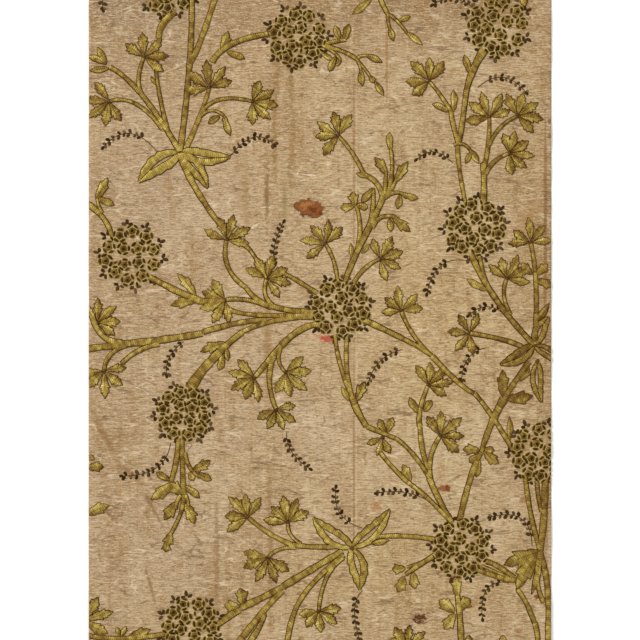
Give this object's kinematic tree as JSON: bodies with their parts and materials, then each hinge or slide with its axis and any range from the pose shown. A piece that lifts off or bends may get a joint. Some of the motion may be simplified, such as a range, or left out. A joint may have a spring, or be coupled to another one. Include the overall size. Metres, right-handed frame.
{
  "type": "embroidered silk panel",
  "caption": "Flat cut length of old cream silk embroidered with gold stems, palmate leaves, round flower heads and dark sprigs, raised from the cloth.",
  "frame": {"origin": "middle of the flat underside of the cloth", "axes": "+X across the panel to the pattern's right, +Y up the pattern along the longer side, +Z out of the embroidered face"},
  "size_m": [0.347, 0.484, 0.0024],
  "materials": {
    "silk": "aged slubbed silk, slightly crinkled",
    "gold_thread": "tarnished gold thread in satin stitch",
    "brown_silk": "dark brown silk cord"
  },
  "bodies": {
    "root": {"embroidered_silk": "silk"}
  },
  "joints": []
}
